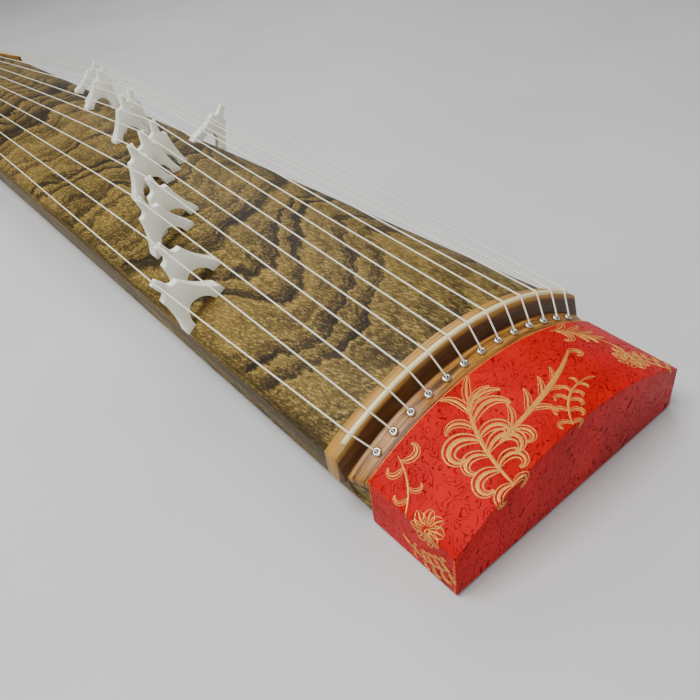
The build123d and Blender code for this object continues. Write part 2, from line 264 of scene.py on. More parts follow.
class Paint:
    """One material and the nodes that make it."""

    def __init__(self, name: str) -> None:
        """Start an empty material.

        Args:
            name: Name of the finish.
        """
        self.material = bpy.data.materials.new(name)
        self.material.use_nodes = True
        self.tree = self.material.node_tree
        self.tree.nodes.clear()
        self.shader = self.node("ShaderNodeBsdfPrincipled", {}, {})
        self.node("ShaderNodeOutputMaterial", {}, {"Surface": self.shader.outputs[0]})

    def node(self, kind: str, settings: dict[str, Any], inputs: dict[Any, Any]) -> bpy.types.Node:
        """Add a node, set it, then fill its sockets.

        Args:
            kind: Type name of the node.
            settings: Attributes that are set first; "stops" fills a colour ramp.
            inputs: Socket name or index to a value, a link or a Value.

        Returns:
            The new node.
        """
        made = self.tree.nodes.new(kind)
        for key, value in settings.items():
            if key == "stops":
                self._fill_ramp(made.color_ramp, value)
            else:
                setattr(made, key, value)
        for key, value in inputs.items():
            socket = made.inputs[key]
            if isinstance(value, Value):
                value = value.socket
            if isinstance(value, bpy.types.NodeSocket):
                self.tree.links.new(value, socket)
            else:
                socket.default_value = value
        return made

    @staticmethod
    def _fill_ramp(ramp: bpy.types.ColorRamp, stops: Sequence[tuple[float, Colour]]) -> None:
        """Set a ramp's stops.

        Args:
            ramp: Ramp to fill.
            stops: Place and colour of each stop.
        """
        while len(ramp.elements) < len(stops):
            ramp.elements.new(0.5)
        for element, (place, colour) in zip(ramp.elements, stops):
            element.position = place
            element.color = (*colour, 1.0)

    def set(self, **constants: Any) -> None:
        """Set the shader's own sockets, with underscores for spaces."""
        for key, value in constants.items():
            self.shader.inputs[key.replace("_", " ")].default_value = value

    def feed(self, socket: str, value: Union[Value, bpy.types.NodeSocket]) -> None:
        """Link something that varies to one of the shader's sockets.

        Args:
            socket: Name of the shader's socket.
            value: What feeds it.
        """
        source = value.socket if isinstance(value, Value) else value
        self.tree.links.new(source, self.shader.inputs[socket])

    def place(self) -> tuple[Value, Value, Value]:
        """Place on the object.

        Returns:
            Distances along X, Y and Z, in metres.
        """
        coords = self.node("ShaderNodeTexCoord", {}, {}).outputs["Object"]
        parts = self.node("ShaderNodeSeparateXYZ", {}, {0: coords}).outputs
        return tuple(Value(self, part) for part in parts)

    def sheet(self) -> tuple[Value, Value]:
        """Place on the piece's own flat pattern.

        Returns:
            Distances across and along, in metres.
        """
        coords = self.node("ShaderNodeUVMap", {"uv_map": "flat"}, {}).outputs[0]
        parts = self.node("ShaderNodeSeparateXYZ", {}, {0: coords}).outputs
        return Value(self, parts[0]), Value(self, parts[1])

    def vector(self, x: Any, y: Any, z: Any) -> bpy.types.NodeSocket:
        """Join three numbers into a vector.

        Args:
            x: First part.
            y: Second part.
            z: Third part.

        Returns:
            The vector's socket.
        """
        return self.node("ShaderNodeCombineXYZ", {}, {0: x, 1: y, 2: z}).outputs[0]

    def noise(
        self, at: bpy.types.NodeSocket, scale: float, detail: float = 3.0, rough: float = 0.5
    ) -> Value:
        """Soft random value from 0 to 1.

        Args:
            at: Where it is read.
            scale: Cells per metre.
            detail: Octaves.
            rough: Weight of the finer octaves.

        Returns:
            The value.
        """
        inputs = {"Vector": at, "Scale": scale, "Detail": detail, "Roughness": rough}
        return Value(self, self.node("ShaderNodeTexNoise", {}, inputs).outputs[0])

    def ramp(self, value: Value, stops: Sequence[tuple[float, Colour]]) -> bpy.types.NodeSocket:
        """Colour from a value.

        Args:
            value: Value from 0 to 1.
            stops: Place and colour of each stop.

        Returns:
            The colour's socket.
        """
        return self.node("ShaderNodeValToRGB", {"stops": stops}, {0: value}).outputs[0]

    def mix(self, share: Value, first: Any, second: Any, blend: str = "MIX") -> bpy.types.NodeSocket:
        """Blend two colours.

        Args:
            share: Share of the second colour.
            first: Colour or socket.
            second: Colour or socket.
            blend: Kind of blend.

        Returns:
            The colour's socket.
        """
        settings = {"data_type": "RGBA", "blend_type": blend}
        first = (*first, 1.0) if isinstance(first, tuple) else first
        second = (*second, 1.0) if isinstance(second, tuple) else second
        return self.node("ShaderNodeMix", settings, {0: share, 6: first, 7: second}).outputs[2]

    def bump(self, height: Value, distance: float, strength: float = 1.0) -> None:
        """Raise the surface by a height from 0 to 1.

        Args:
            height: The height.
            distance: Metres that 1 stands for.
            strength: Weight of the bump.
        """
        inputs = {"Height": height, "Distance": distance, "Strength": strength}
        self.feed("Normal", self.node("ShaderNodeBump", {}, inputs).outputs[0])


# ---------------------------------------------------------------- finishes


@dataclass(frozen=True)
class ScorchedPaulownia:
    """Scorched and brushed paulownia with wavy figure on the board and straight grain on the sides."""

    name: str = "scorched_paulownia"
    char: Colour = (0.014, 0.008, 0.002)
    dark: Colour = (0.044, 0.026, 0.005)
    brown: Colour = (0.104, 0.065, 0.012)
    tan: Colour = (0.205, 0.130, 0.026)
    gold: Colour = (0.500, 0.350, 0.095)
    bands_per_metre: float = 25.0
    side_starts: tuple[float, float] = (0.1135, 0.1225)
    top_starts: tuple[float, float] = (0.050, 0.060)

    def make(self) -> bpy.types.Material:
        """Build the material.

        Returns:
            The finish.
        """
        paint = Paint(self.name)
        x, y, z = paint.place()
        sway = paint.noise(paint.vector(x * 3.0, y * 6.0, z * 6.0), 1.0, 2.0) - 0.5
        wander = paint.noise(paint.vector(x * 11.0, y * 19.0, z * 19.0), 1.0, 3.0) - 0.5
        ripple = paint.noise(paint.vector(x * 70.0, y * 95.0, z * 95.0), 1.0, 2.0) - 0.5
        fibre = paint.noise(paint.vector(x * 9.0, (y + x * 0.12) * 330.0, z * 330.0), 1.0, 2.0) - 0.5
        front = x * 0.72 + y * 0.42 + y * y * 5.5
        front = front + sway * 0.20 + wander * 0.070 + ripple * 0.013 + fibre * 0.010
        count = front * self.bands_per_metre + (front * 71.0).sine() * 0.30
        rings = count.fraction()
        ring_no = count.floor()
        strength = (ring_no * 12.9898).sine().absolute() * 0.8 + 0.2
        late = (rings.step(0.30, 0.92) - rings.step(0.93, 1.0)) * strength
        rim = rings.step(0.0, 0.03) - rings.step(0.05, 0.22)
        fine_rings = (rings * 31.0 + wander * 9.0).sine() * 0.5 + 0.5
        fan = paint.noise(paint.vector(front * 170.0, y * 26.0, z * 26.0), 1.0, 3.0, 0.6)
        fan = fan + fine_rings * 0.16
        straight = paint.noise(paint.vector(x * 5.0, y * 60.0, z * 420.0 + sway * 12.0), 1.0, 4.0, 0.6)
        edge_on = y.absolute().step(*self.side_starts) * (1.0 - z.step(*self.top_starts))
        tilt = y * 0.45
        pore_at = paint.vector((x - tilt) * 170.0, (y + x * 0.3) * 900.0, z * 900.0)
        pores = paint.noise(pore_at, 1.0, 2.0, 0.6)
        fleck_at = paint.vector((x + tilt) * 150.0, (y - x * 0.25) * 800.0, z * 800.0)
        flecks = paint.noise(fleck_at, 1.0, 2.0, 0.7)
        zones = paint.noise(paint.vector(x * 5.0, y * 12.0, z * 12.0), 1.0, 3.0)
        body = zones * 0.56 + fan * 0.66 + pores * 0.56 - late * 0.33 + rim * 0.12 - 0.40
        side = straight * 1.25 + pores * 0.16 - 0.26
        tone = body + (side - body) * edge_on
        stops = ((0.18, self.char), (0.36, self.dark), (0.52, self.brown), (0.72, self.tan))
        wood = paint.ramp(tone, stops)
        speck = flecks.step(0.50, 0.66) * tone.step(0.18, 0.66)
        gilt = speck * (0.78 - edge_on * 0.35)
        paint.feed("Base Color", paint.mix(gilt, wood, self.gold))
        paint.feed("Roughness", 0.50 - speck * 0.12 + pores * 0.10)
        paint.bump(pores * 0.5 + speck * 0.6 + tone * 0.3, 0.00020, 0.7)
        paint.set(Specular_IOR_Level=0.22)
        return paint.material


@dataclass(frozen=True)
class Rosewood:
    """Oiled orange-brown rosewood, with a dark band of painted shade across the body on the head saddle's steep slope
    behind its ridge.
    """

    name: str = "rosewood"
    dark: Colour = (0.045, 0.014, 0.003)
    brown: Colour = (0.165, 0.060, 0.007)
    orange: Colour = (0.400, 0.170, 0.020)
    pale: Colour = (0.620, 0.350, 0.070)
    shade_band_at: float = 0.8142

    def make(self) -> bpy.types.Material:
        """Build the material.

        Returns:
            The finish.
        """
        paint = Paint(self.name)
        x, y, z = paint.place()
        sway = paint.noise(paint.vector(x * 30.0, y * 9.0, z * 9.0), 1.0, 2.0) - 0.5
        across = paint.noise(paint.vector(x * 520.0 + sway * 6.0, y * 16.0, z * 30.0), 1.0, 4.0, 0.65)
        fine = paint.noise(paint.vector(x * 2600.0, y * 120.0, z * 120.0), 1.0, 2.0)
        bands = ((x + sway * 0.004) * 900.0).sine() * 0.5 + 0.5
        tone = across * 1.30 + fine * 0.26 + bands * 0.14 - 0.37
        stops = ((0.22, self.dark), (0.38, self.brown), (0.58, self.orange), (0.86, self.pale))
        wood = paint.ramp(tone, stops)
        # Painted shade: a dark band across the head saddle, on the steep slope behind its ridge where shade falls.
        shift = x - self.shade_band_at + sway * 0.0022
        painted_shade_band = 1.0 - shift.absolute().step(0.0016, 0.0036)
        wood = paint.mix(painted_shade_band * 0.86, wood, self.dark)
        pale = (1.0 - x.step(0.8106, 0.8126)) * x.step(0.79, 0.795)
        paint.feed("Base Color", paint.mix(pale * 0.42, wood, self.pale))
        paint.feed("Roughness", 0.36 + fine * 0.16)
        paint.bump(fine * 0.6 + across * 0.4, 0.00010, 0.6)
        paint.set(Specular_IOR_Level=0.4)
        return paint.material


@dataclass(frozen=True)
class IvoryStrip:
    """Polished cream strip with faint lengthwise lines."""

    name: str = "ivory_strip"
    low: Colour = (0.800, 0.660, 0.300)
    high: Colour = (0.930, 0.820, 0.450)

    def make(self) -> bpy.types.Material:
        """Build the material.

        Returns:
            The finish.
        """
        paint = Paint(self.name)
        x, y, z = paint.place()
        lines = paint.noise(paint.vector(x * 3200.0, y * 30.0, z * 30.0), 1.0, 3.0)
        cloud = paint.noise(paint.vector(x * 200.0, y * 60.0, z * 60.0), 1.0, 2.0)
        tone = lines * 0.6 + cloud * 0.4
        paint.feed("Base Color", paint.ramp(tone, ((0.3, self.low), (0.6, self.high))))
        paint.feed("Roughness", 0.20 + lines * 0.12)
        paint.bump(lines, 0.00003, 0.5)
        paint.set(Coat_Weight=0.4, Coat_Roughness=0.1)
        return paint.material


@dataclass(frozen=True)
class EyeletMetal:
    """Bright metal with fine turning marks and small scuffs."""

    name: str = "eyelet_metal"
    dark: Colour = (0.520, 0.500, 0.440)
    bright: Colour = (0.880, 0.860, 0.800)

    def make(self) -> bpy.types.Material:
        """Build the material.

        Returns:
            The finish.
        """
        paint = Paint(self.name)
        x, y, z = paint.place()
        scuff = paint.noise(paint.vector(x * 900.0, y * 900.0, z * 900.0), 1.0, 4.0, 0.6)
        turned = paint.noise(paint.vector(x * 200.0, y * 200.0, z * 5200.0), 1.0, 2.0)
        paint.feed("Base Color", paint.ramp(scuff, ((0.3, self.dark), (0.55, self.bright))))
        paint.feed("Roughness", 0.14 + scuff * 0.16 + turned * 0.06)
        paint.bump(turned * 0.5 + scuff * 0.5, 0.00003, 0.4)
        paint.set(Metallic=1.0)
        return paint.material


@dataclass(frozen=True)
class BridgeWhite:
    """Moulded white bridge material with a faint marbled bloom and hairline scratches."""

    name: str = "bridge_white"
    shade: Colour = (0.900, 0.910, 0.740)
    white: Colour = (0.985, 0.990, 0.870)

    def make(self) -> bpy.types.Material:
        """Build the material.

        Returns:
            The finish.
        """
        paint = Paint(self.name)
        x, y, z = paint.place()
        bloom = paint.noise(paint.vector(x * 70.0, y * 70.0, z * 70.0), 1.0, 4.0, 0.6)
        scratch = paint.noise(paint.vector(x * 3000.0, y * 260.0, z * 260.0), 1.0, 2.0)
        paint.feed("Base Color", paint.ramp(bloom, ((0.28, self.shade), (0.56, self.white))))
        paint.feed("Roughness", 0.30 + scratch * 0.14 + bloom * 0.06)
        paint.bump(scratch * 0.4 + bloom * 0.6, 0.00006, 0.5)
        paint.set(Coat_Weight=0.25, Coat_Roughness=0.2)
        return paint.material


@dataclass(frozen=True)
class TwistedCord:
    """Waxed cream cord with the lay of its strands, and painted shade in the grooves between them."""

    name: str = "twisted_cord"
    shaded_groove: Colour = (0.640, 0.590, 0.400)
    crown: Colour = (0.950, 0.920, 0.760)
    pitch: float = 0.0024

    def make(self) -> bpy.types.Material:
        """Build the material.

        Returns:
            The finish.
        """
        paint = Paint(self.name)
        x, y, z = paint.place()
        turn = 2 * math.pi / self.pitch
        lay = ((x * turn) + (y - z) * (turn * 1.1)).sine() * 0.5 + 0.5
        fuzz = paint.noise(paint.vector(x * 1800.0, y * 5200.0, z * 5200.0), 1.0, 2.0)
        tone = lay * 0.75 + fuzz * 0.25
        # Painted shade: the colour falls to the shaded groove tone in the hollows between the strands.
        paint.feed("Base Color", paint.ramp(tone, ((0.12, self.shaded_groove), (0.45, self.crown))))
        paint.feed("Roughness", 0.62 - lay * 0.15)
        paint.bump(tone, 0.00012, 0.8)
        paint.set(Sheen_Weight=0.1)
        return paint.material


@dataclass(frozen=True)
class RedBrocade:
    """Red satin with a small raised scroll figure of its own colour."""

    name: str = "red_brocade"
    deep: Colour = (0.150, 0.000, 0.001)
    red: Colour = (0.500, 0.000, 0.001)
    bright: Colour = (0.680, 0.001, 0.002)
    thread: float = 0.00042

    def make(self) -> bpy.types.Material:
        """Build the material.

        Returns:
            The finish.
        """
        paint = Paint(self.name)
        s, t = paint.sheet()
        at = paint.vector(s, t, 0.0)
        sway = paint.noise(paint.vector(s * 90.0, t * 90.0, 0.0), 1.0, 1.0) - 0.5
        curl_at = paint.vector(s * 135.0 + sway * 2.4, t * 135.0 - sway * 2.4, 3.0)
        curl = paint.noise(curl_at, 1.0, 0.0, 0.4)
        ribs = (curl * 5.0).fraction()
        figure = ribs.step(0.36, 0.44) * (1.0 - ribs.step(0.58, 0.66))
        area = paint.noise(paint.vector(s * 210.0, t * 210.0, 9.0), 1.0, 1.0)
        figure = figure * area.step(0.42, 0.50)
        weft = (t * (2 * math.pi / self.thread)).sine() * 0.5 + 0.5
        twill = ((s + t) * (2 * math.pi / (self.thread * 1.7))).sine() * 0.5 + 0.5
        weave = weft * (1.0 - figure) + twill * figure
        slub = paint.noise(paint.vector(s * 300.0, t * 2600.0, 1.0), 1.0, 2.0)
        crease = paint.noise(at, 26.0, 3.0)
        ground = paint.mix(crease.step(0.3, 0.7), self.red, self.bright)
        cloth = paint.mix(figure * 0.80, ground, self.deep)
        shade = (1.0 - weave) * 0.18 + slub * 0.10
        paint.feed("Base Color", paint.mix(shade, cloth, self.deep))
        paint.feed("Roughness", 0.34 + figure * 0.26 + weave * 0.06)
        paint.bump(weave * 0.35 + figure * 0.7 + crease * 0.9, 0.00022, 0.65)
        paint.set(Specular_IOR_Level=0.10)
        return paint.material


@dataclass(frozen=True)
class GoldThread:
    """Metallic thread laid in slanting rows over red cloth."""

    name: str = "gold_thread"
    gold: Colour = (0.760, 0.330, 0.035)
    pale: Colour = (0.960, 0.560, 0.120)
    gap: Colour = (0.420, 0.030, 0.004)
    row: float = 0.00085

    def make(self) -> bpy.types.Material:
        """Build the material.

        Returns:
            The finish.
        """
        paint = Paint(self.name)
        s, t = paint.sheet()
        rows = ((s * 0.62 + t) * (2 * math.pi / self.row)).sine() * 0.5 + 0.5
        floats = (s * (2 * math.pi / (self.row * 1.6)) + rows * 0.8).sine() * 0.5 + 0.5
        glint = paint.noise(paint.vector(s * 1500.0, t * 1500.0, 2.0), 1.0, 2.0)
        cover = (rows * 0.75 + floats * 0.35).step(0.24, 0.46)
        metal = paint.mix(glint.step(0.4, 0.65), self.gold, self.pale)
        paint.feed("Base Color", paint.mix(cover, self.gap, metal))
        paint.feed("Metallic", cover * 0.55)
        paint.feed("Roughness", 0.52 - cover * 0.18)
        paint.bump(rows * 0.7 + floats * 0.3, 0.00016, 0.8)
        return paint.material


@dataclass(frozen=True)
class PlainCloth:
    """Plain-woven cotton or paper board."""

    name: str
    low: Colour
    high: Colour
    thread: float = 0.0006

    def make(self) -> bpy.types.Material:
        """Build the material.

        Returns:
            The finish.
        """
        paint = Paint(self.name)
        x, y, z = paint.place()
        turn = 2 * math.pi / self.thread
        warp = (y * turn + z * turn).sine() * 0.5 + 0.5
        weft = (x * turn).sine() * 0.5 + 0.5
        fibre = paint.noise(paint.vector(x * 900.0, y * 900.0, z * 900.0), 1.0, 3.0)
        tone = warp * weft * 0.5 + fibre * 0.5
        paint.feed("Base Color", paint.ramp(tone, ((0.15, self.low), (0.7, self.high))))
        paint.feed("Roughness", 0.78 + fibre * 0.16)
        paint.bump(tone, 0.00012, 0.6)
        return paint.material


@dataclass(frozen=True)
class StudioFloor:
    """Pale matt floor with a hardly visible mottle."""

    name: str = "studio_floor"
    low: Colour = (0.580, 0.580, 0.575)
    high: Colour = (0.640, 0.640, 0.635)

    def make(self) -> bpy.types.Material:
        """Build the material.

        Returns:
            The finish.
        """
        paint = Paint(self.name)
        x, y, z = paint.place()
        cloud = paint.noise(paint.vector(x * 3.0, y * 3.0, z), 1.0, 3.0)
        paint.feed("Base Color", paint.ramp(cloud, ((0.3, self.low), (0.7, self.high))))
        paint.feed("Roughness", 0.70 + cloud * 0.1)
        return paint.material


# ---------------------------------------------------------------- making pieces


def deselect() -> None:
    """Leave nothing selected."""
    if bpy.context.object is not None and bpy.context.object.mode != "OBJECT":
        bpy.ops.object.mode_set(mode="OBJECT")
    bpy.ops.object.select_all(action="DESELECT")


def take(obj: bpy.types.Object) -> None:
    """Select one object alone and make it active.

    Args:
        obj: The object.
    """
    deselect()
    obj.select_set(True)
    bpy.context.view_layer.objects.active = obj


def copy_of(node: str, name: str) -> bpy.types.Object:
    """Copy a CAD node into a piece with its own merged mesh.

    Args:
        node: Name of the node.
        name: Name of the new piece.

    Returns:
        The new piece, at the origin.
    """
    mesh = frame["nodes"][node].data.copy()
    mesh.materials.clear()
    obj = bpy.data.objects.new(name, mesh)
    bpy.context.scene.collection.objects.link(obj)
    take(obj)
    bpy.ops.object.mode_set(mode="EDIT")
    bpy.ops.mesh.select_all(action="SELECT")
    bpy.ops.mesh.remove_doubles(threshold=MERGE_DISTANCE)
    bpy.ops.mesh.customdata_custom_splitnormals_clear()
    bpy.ops.mesh.tris_convert_to_quads(face_threshold=0.002, shape_threshold=0.5)
    bpy.ops.mesh.select_all(action="DESELECT")
    bpy.ops.object.mode_set(mode="OBJECT")
    return obj


def round_edges(obj: bpy.types.Object, width: float, segments: int) -> None:
    """Bevel the sharp edges of a piece and shade the rest smooth.

    Args:
        obj: Piece to round.
        width: Width of the bevel in metres.
        segments: Steps across the bevel.
    """
    take(obj)
    bevel = obj.modifiers.new("rounded", "BEVEL")
    bevel.width = width
    bevel.segments = segments
    bevel.limit_method = "ANGLE"
    bevel.angle_limit = SHARP_EDGE
    bevel.use_clamp_overlap = True
    bevel.harden_normals = False
    bpy.ops.object.modifier_apply(modifier=bevel.name)
    bpy.ops.object.shade_smooth_by_angle(angle=SMOOTH_EDGE)


def dress(obj: bpy.types.Object, material: bpy.types.Material, slot_name: str) -> None:
    """Give a piece its finish and name the record slot it belongs to.

    Args:
        obj: Piece to dress.
        material: Its finish.
        slot_name: Slot of the record.
    """
    obj.data.materials.clear()
    obj.data.materials.append(material)
    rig.slot(obj, slot_name)
    LOG.info("%s: %d faces, %s", obj.name, len(obj.data.polygons), material.name)


def dress_node(node: str, material: bpy.types.Material) -> None:
    """Give a carried-over CAD node its finish.

    Args:
        node: Name of the node.
        material: Its finish.
    """
    mesh = frame["nodes"][node].data
    mesh.materials.clear()
    mesh.materials.append(material)
    LOG.info("%s: carried over in %s", node, material.name)


@dataclass
class RoundedPiece:
    """A CAD node with softened edges."""

    node: str
    body: str
    slot_name: str
    width: float
    segments: int = 2

    def build(self, material: bpy.types.Material) -> bpy.types.Object:
        """Make the piece, dress it and put it on its body.

        Args:
            material: Its finish.

        Returns:
            The piece.
        """
        piece = copy_of(self.node, f"{self.node}_piece")
        round_edges(piece, self.width, self.segments)
        dress(piece, material, self.slot_name)
        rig.ride(piece, self.body)
        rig.replaces(piece, self.node)
        return piece


# ---------------------------------------------------------------- sub-assemblies


@dataclass
class SoundBox:
    """Board, back, blocks, braces and feet."""

    edge: float = 0.0016
    block_edge: float = 0.0012
    foot_edge: float = 0.0008
    braces: tuple[str, ...] = ("brace_head", "brace_middle", "brace_tail")

    def build(self, wood: bpy.types.Material, rosewood: bpy.types.Material) -> None:
        """Build and dress every piece of the box.

        Args:
            wood: Finish of the box.
            rosewood: Finish of the feet.
        """
        RoundedPiece("soundboard_shell", "body", "paulownia", self.edge, 3).build(wood)
        RoundedPiece("back_board", "body", "paulownia", self.block_edge).build(wood)
        RoundedPiece("tail_block", "body", "paulownia", self.edge).build(wood)
        RoundedPiece("head_block", "body", "paulownia", self.block_edge).build(wood)
        for foot in ("head_feet", "tail_feet"):
            RoundedPiece(foot, "body", "rosewood", self.foot_edge).build(rosewood)
        for brace in self.braces:
            dress_node(brace, wood)


@dataclass
class Fittings:
    """Saddles with their strips, eyelet plate, leaf panel and eyelets."""

    edge: float = 0.0006
    strip_edge: float = 0.0003

    def build(
        self, rosewood: bpy.types.Material, ivory: bpy.types.Material, metal: bpy.types.Material
    ) -> None:
        """Build and dress every fitting.

        Args:
            rosewood: Finish of the saddles, plate and panel.
            ivory: Finish of the strips.
            metal: Finish of the eyelets.
        """
        for node in ("head_saddle", "tail_saddle", "string_plate", "tail_leaf_panel"):
            RoundedPiece(node, "body", "rosewood", self.edge).build(rosewood)
        for node in ("head_saddle_strip", "tail_saddle_strip"):
            RoundedPiece(node, "body", "ivory_strip", self.strip_edge).build(ivory)
        for node in ("head_eyelets", "tail_eyelets"):
            RoundedPiece(node, "body", "eyelet_metal", 0.00008, 1).build(metal)


@dataclass
class Bridges:
    """Thirteen movable bridges."""

    count: int = 13
    edge: float = 0.0007

    def build(self, white: bpy.types.Material) -> None:
        """Build and dress each bridge on its own body.

        Args:
            white: Finish of the bridges.
        """
        for number in range(1, self.count + 1):
            node = f"bridge_{number:02d}"
            RoundedPiece(node, node, "bridge_white", self.edge, 3).build(white)


@dataclass
class Strings:
    """Thirteen strings, each in two runs that follow its bridge."""

    count: int = 13
    head_strip_x: float = 0.809
    tail_strip_x: float = -0.676
    inset: float = 0.004
    clearance: float = 0.008

    def build(self, cord: bpy.types.Material) -> None:
        """Build and dress both runs of each string.

        Args:
            cord: Finish of the strings.
        """
        for number in range(1, self.count + 1):
            low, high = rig.box(f"bridge_{number:02d}")
            middle = (low.x + high.x) / 2
            self._run(number, middle, 1, cord)
            self._run(number, middle, -1, cord)

    def _run(self, number: int, middle: float, side: int, cord: bpy.types.Material) -> None:
        """Make the run of a string on one side of its bridge.

        Args:
            number: Number of the string.
            middle: Place of the bridge along the body.
            side: 1 for the head side, -1 for the tail side.
            cord: Finish of the string.
        """
        node = f"string_{number:02d}"
        word = "head" if side > 0 else "tail"
        piece = copy_of(node, f"{node}_{word}")
        take(piece)
        bpy.ops.object.mode_set(mode="EDIT")
        bpy.ops.mesh.select_all(action="SELECT")
        bpy.ops.mesh.bisect(
            plane_co=(middle, 0.0, 0.1),
            plane_no=(1.0, 0.0, 0.0),
            use_fill=True,
            clear_inner=side > 0,
            clear_outer=side < 0,
        )
        bpy.ops.mesh.select_all(action="DESELECT")
        bpy.ops.object.mode_set(mode="OBJECT")
        bpy.ops.object.shade_smooth_by_angle(angle=math.radians(40.0))
        dress(piece, cord, "string_cord")
        anchor = self.head_strip_x - self.inset if side > 0 else self.tail_strip_x + self.inset
        end = middle + side * self.clearance
        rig.blend(piece, "body", f"bridge_{number:02d}", (anchor, 0.0, 0.1), (end, 0.0, 0.1))
        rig.replaces(piece, node)


@dataclass
class CapForm:
    """Outer form of the head cap and the way its cloth unrolls."""

    mouth: float = 0.831
    end: float = 0.910
    half: float = 0.118
    radius: float = 0.227
    apex_mouth: float = 0.0776
    apex_end: float = 0.0716

    def apex(self, t: float) -> float:
        """Height of the crown at t along the body."""
        share = (t - self.mouth) / (self.end - self.mouth)
        return self.apex_mouth + (self.apex_end - self.apex_mouth) * min(max(share, 0.0), 1.0)

    def half_arc(self) -> float:
        """Length of half the arch across the top."""
        return self.radius * math.asin(self.half / self.radius)

    def on_cloth(self, s: float, t: float, lift: float = 0.0) -> Point:
        """Place on the cap of a point on the flat cloth.

        Args:
            s: Distance across from the crown line.
            t: Distance along, past the end for the end face.
            lift: Height above the cloth.

        Returns:
            The point in the row frame.
        """
        over = max(t - self.end, 0.0)
        x = min(t, self.end)
        arc = self.half_arc()
        if abs(s) <= arc:
            angle = s / self.radius
            y = self.radius * math.sin(angle)
            z = self.apex(x) - self.radius + self.radius * math.cos(angle)
            normal = Vector((0.0, math.sin(angle), math.cos(angle)))
        else:
            side = math.copysign(1.0, s)
            y = side * self.half
            z = self.apex(x) - self.radius + math.sqrt(self.radius**2 - self.half**2) - (abs(s) - arc)
            normal = Vector((0.0, side, 0.0))
        point = Vector((x, y, z))
        if over > 0.0:
            return tuple(point - Vector((0.0, 0.0, over)) + Vector((lift, 0.0, 0.0)))
        return tuple(point + normal * lift)

    def to_cloth(self, point: Vector, region: Region) -> Place:
        """Place on the flat cloth of a point on the cap.

        Args:
            point: Point in the row frame.
            region: Face it lies on.

        Returns:
            Distances across and along.
        """
        crown = self.apex(point.x) - self.radius
        edge = crown + math.sqrt(self.radius**2 - self.half**2)
        if region is Region.TOP:
            return self.radius * math.atan2(point.y, point.z - crown), point.x
        if region is Region.SIDE:
            return math.copysign(self.half_arc() + edge - point.z, point.y), point.x
        top = crown + math.sqrt(max(self.radius**2 - point.y**2, 0.0))
        return point.y, self.end + top - point.z


def region_of(normal: Vector) -> Region:
    """Find the face of the cap that a normal belongs to.

    Args:
        normal: Normal of a facet.

    Returns:
        The face.
    """
    if abs(normal.x) > END_FACING:
        return Region.END
    return Region.SIDE if abs(normal.y) > SIDE_FACING else Region.TOP


@dataclass
class Scroll:
    """A leaf that follows a curling line on the cloth, drawn as a rib between two outlines."""

    start: Place
    heading: float
    length: float
    turn: float
    width: float
    tightening: float = 1.8
    strands: tuple[Place, ...] = ((-0.5, 0.20), (0.0, 0.42), (0.5, 0.20))
    steps: int = 18
    finest: float = 0.00030

    def line(self) -> list[tuple[float, float, float]]:
        """Follow the centre line.

        Returns:
            Points across and along, each with its heading.
        """
        s, t = self.start
        points = [(s, t, self.heading)]
        for step in range(self.steps):
            share = (step + 0.5) / self.steps
            heading = self.heading + self.turn * share**self.tightening
            s += math.cos(heading) * self.length / self.steps
            t += math.sin(heading) * self.length / self.steps
            points.append((s, t, heading))
        return points

    def outlines(self) -> list[list[tuple[Place, Place]]]:
        """Find the edges of each strand.

        Returns:
            Left and right edge points along each strand.
        """
        drawn = []
        points = self.line()
        for offset, thickness in self.strands:
            pairs = []
            for index, (s, t, heading) in enumerate(points):
                share = index / (len(points) - 1)
                spread = self.width * (0.10 + math.sin(math.pi * min(share * 0.92 + 0.02, 1.0) ** 0.8))
                swell = 0.45 + 0.55 * math.sin(math.pi * share)
                half = max(self.width * thickness * swell, self.finest) * 0.5
                across = (-math.sin(heading), math.cos(heading))
                near, far = spread * offset - half, spread * offset + half
                left = (s + across[0] * far, t + across[1] * far)
                pairs.append((left, (s + across[0] * near, t + across[1] * near)))
            drawn.append(pairs)
        return drawn


